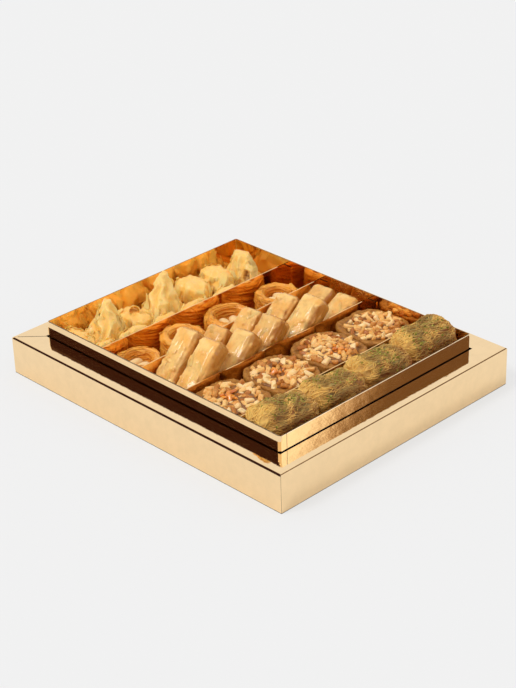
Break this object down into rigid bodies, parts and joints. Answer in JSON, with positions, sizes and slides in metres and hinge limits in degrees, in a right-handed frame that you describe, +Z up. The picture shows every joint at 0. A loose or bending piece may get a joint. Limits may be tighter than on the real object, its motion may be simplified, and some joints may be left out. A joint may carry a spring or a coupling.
{
  "type": "box of baklava",
  "caption": "Gold foil gift box: flat-ledged frame, lift-out divided tray, filled with rolls, nut cakes, leaning filo fingers, nests and filo parcels.",
  "frame": {"origin": "middle of the underside of the outer frame", "axes": "+X across the box, +Y along it from the shredded rolls to the filo parcels, +Z up"},
  "size_m": [0.24, 0.29, 0.0581],
  "materials": {
    "gold_board": "gold mirror foil on card",
    "grey_board": "gold foil over grey board",
    "gold_strip": "gold mirror foil on thin card",
    "kadaif": "shredded pastry with green nuts, syrupy",
    "caramel": "sticky caramel with pale nuts",
    "filo": "rolled filo, syrup glaze",
    "nest": "shredded golden pastry",
    "cashew": "whole pale nuts",
    "parcel": "folded filo, crisp"
  },
  "bodies": {
    "frame": {"frame_base": "grey_board", "frame_rail_front": "gold_board", "frame_rail_back": "gold_board", "frame_rail_left": "gold_board", "frame_rail_right": "gold_board"},
    "tray": {"tray_floor": "grey_board", "tray_wall": "gold_board", "divider_1": "gold_strip", "divider_2": "gold_strip", "divider_3": "gold_strip", "divider_4": "gold_strip", "kadaif_under_layer": "kadaif", "nut_cake_under_layer": "caramel", "finger_2": "filo", "finger_3": "filo", "finger_4": "filo", "finger_5": "filo", "finger_7": "filo", "finger_8": "filo", "finger_9": "filo", "finger_10": "filo", "nest_under_layer": "nest", "parcel_6": "parcel", "parcel_7": "parcel", "parcel_8": "parcel", "parcel_9": "parcel", "parcel_10": "parcel", "parcel_11": "parcel", "parcel_12": "parcel", "parcel_under_layer": "parcel"},
    "kadaif_roll_1": {"kadaif_roll_1": "kadaif"},
    "kadaif_roll_2": {"kadaif_roll_2": "kadaif"},
    "kadaif_roll_3": {"kadaif_roll_3": "kadaif"},
    "kadaif_roll_4": {"kadaif_roll_4": "kadaif"},
    "nut_cake_1": {"nut_cake_1": "caramel"},
    "nut_cake_2": {"nut_cake_2": "caramel"},
    "nut_cake_3": {"nut_cake_3": "caramel"},
    "nut_cake_4": {"nut_cake_4": "caramel"},
    "nest_1": {"nest_1": "nest", "nest_nuts_1": "cashew"},
    "nest_2": {"nest_2": "nest", "nest_nuts_2": "cashew"},
    "nest_3": {"nest_3": "nest", "nest_nuts_3": "cashew"},
    "nest_4": {"nest_4": "nest", "nest_nuts_4": "cashew"},
    "finger_1": {"finger_1": "filo"},
    "finger_6": {"finger_6": "filo"},
    "parcel_1": {"parcel_1": "parcel"},
    "parcel_2": {"parcel_2": "parcel"},
    "parcel_3": {"parcel_3": "parcel"},
    "parcel_4": {"parcel_4": "parcel"},
    "parcel_5": {"parcel_5": "parcel"}
  },
  "joints": [
    {"name": "tray_lift", "type": "slide", "parent": "frame", "child": "tray", "axis": [0, 0, 1], "range_m": [0, 0.06]},
    {"name": "kadaif_roll_1_lift", "type": "slide", "parent": "tray", "child": "kadaif_roll_1", "axis": [0, 0, 1], "range_m": [0, 0.04]},
    {"name": "kadaif_roll_2_lift", "type": "slide", "parent": "tray", "child": "kadaif_roll_2", "axis": [0, 0, 1], "range_m": [0, 0.04]},
    {"name": "kadaif_roll_3_lift", "type": "slide", "parent": "tray", "child": "kadaif_roll_3", "axis": [0, 0, 1], "range_m": [0, 0.04]},
    {"name": "kadaif_roll_4_lift", "type": "slide", "parent": "tray", "child": "kadaif_roll_4", "axis": [0, 0, 1], "range_m": [0, 0.04]},
    {"name": "nut_cake_1_lift", "type": "slide", "parent": "tray", "child": "nut_cake_1", "axis": [0, 0, 1], "range_m": [0, 0.04]},
    {"name": "nut_cake_2_lift", "type": "slide", "parent": "tray", "child": "nut_cake_2", "axis": [0, 0, 1], "range_m": [0, 0.04]},
    {"name": "nut_cake_3_lift", "type": "slide", "parent": "tray", "child": "nut_cake_3", "axis": [0, 0, 1], "range_m": [0, 0.04]},
    {"name": "nut_cake_4_lift", "type": "slide", "parent": "tray", "child": "nut_cake_4", "axis": [0, 0, 1], "range_m": [0, 0.04]},
    {"name": "nest_1_lift", "type": "slide", "parent": "tray", "child": "nest_1", "axis": [0, 0, 1], "range_m": [0, 0.045]},
    {"name": "nest_2_lift", "type": "slide", "parent": "tray", "child": "nest_2", "axis": [0, 0, 1], "range_m": [0, 0.045]},
    {"name": "nest_3_lift", "type": "slide", "parent": "tray", "child": "nest_3", "axis": [0, 0, 1], "range_m": [0, 0.045]},
    {"name": "nest_4_lift", "type": "slide", "parent": "tray", "child": "nest_4", "axis": [0, 0, 1], "range_m": [0, 0.045]},
    {"name": "finger_1_lift", "type": "slide", "parent": "tray", "child": "finger_1", "axis": [0, 0, 1], "range_m": [0, 0.06]},
    {"name": "finger_6_lift", "type": "slide", "parent": "tray", "child": "finger_6", "axis": [0, 0, 1], "range_m": [0, 0.06]},
    {"name": "parcel_1_lift", "type": "slide", "parent": "tray", "child": "parcel_1", "axis": [0, 0, 1], "range_m": [0, 0.05]},
    {"name": "parcel_2_lift", "type": "slide", "parent": "tray", "child": "parcel_2", "axis": [0, 0, 1], "range_m": [0, 0.05]},
    {"name": "parcel_3_lift", "type": "slide", "parent": "tray", "child": "parcel_3", "axis": [0, 0, 1], "range_m": [0, 0.05]},
    {"name": "parcel_4_lift", "type": "slide", "parent": "tray", "child": "parcel_4", "axis": [0, 0, 1], "range_m": [0, 0.05]},
    {"name": "parcel_5_lift", "type": "slide", "parent": "tray", "child": "parcel_5", "axis": [0, 0, 1], "range_m": [0, 0.05]}
  ]
}
